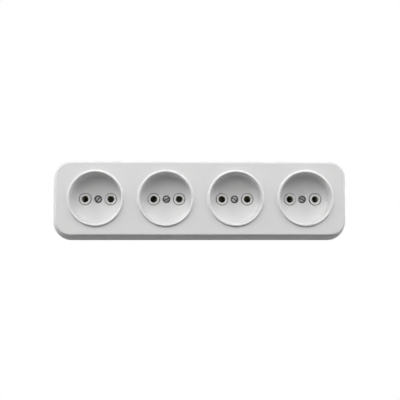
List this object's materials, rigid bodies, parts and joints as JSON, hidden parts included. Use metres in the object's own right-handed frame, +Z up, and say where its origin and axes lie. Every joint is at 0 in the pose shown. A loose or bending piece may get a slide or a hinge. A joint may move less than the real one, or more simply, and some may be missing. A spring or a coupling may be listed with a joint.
{
  "type": "four-way surface socket",
  "caption": "Surface-mounted socket strip with a row of round dished wells for plugs with two round pins, each well held by a slotted screw, without earth contacts.",
  "frame": {"origin": "centre of the cable hole in the back of the base, on the wall plane", "axes": "+X to the right along the row of wells as seen from the front, +Y into the wall, +Z up"},
  "size_m": [0.2288, 0.035, 0.0614],
  "materials": {
    "cover_plastic": "white moulded plastic with a soft sheen",
    "block_plastic": "white heat-resistant moulding, smooth",
    "base_plastic": "off-white moulding, matt",
    "brass": "stamped brass sheet",
    "rivet_brass": "dull brass",
    "spring_steel": "drawn spring wire",
    "screw_steel": "dull zinc-plated steel"
  },
  "bodies": {
    "root": {"cover": "cover_plastic", "base": "base_plastic", "contact_block_1": "block_plastic", "contact_block_2": "block_plastic", "contact_block_3": "block_plastic", "contact_block_4": "block_plastic", "line_contact_1": "brass", "line_contact_2": "brass", "line_contact_3": "brass", "line_contact_4": "brass", "neutral_contact_1": "brass", "neutral_contact_2": "brass", "neutral_contact_3": "brass", "neutral_contact_4": "brass", "contact_spring_1": "spring_steel", "contact_spring_2": "spring_steel", "contact_spring_3": "spring_steel", "contact_spring_4": "spring_steel", "contact_spring_5": "spring_steel", "contact_spring_6": "spring_steel", "contact_spring_7": "spring_steel", "contact_spring_8": "spring_steel", "contact_rivet_1": "rivet_brass", "contact_rivet_2": "rivet_brass", "contact_rivet_3": "rivet_brass", "contact_rivet_4": "rivet_brass", "contact_rivet_5": "rivet_brass", "contact_rivet_6": "rivet_brass", "contact_rivet_7": "rivet_brass", "contact_rivet_8": "rivet_brass", "line_bus": "brass", "neutral_bus": "brass", "terminal_screw_line": "screw_steel", "terminal_screw_neutral": "screw_steel", "terminal_washer_line": "screw_steel", "terminal_washer_neutral": "screw_steel", "cover_screw_1": "screw_steel", "cover_screw_2": "screw_steel", "cover_screw_3": "screw_steel", "cover_screw_4": "screw_steel", "cover_nut_1": "screw_steel", "cover_nut_2": "screw_steel", "cover_nut_3": "screw_steel", "cover_nut_4": "screw_steel"}
  },
  "joints": []
}
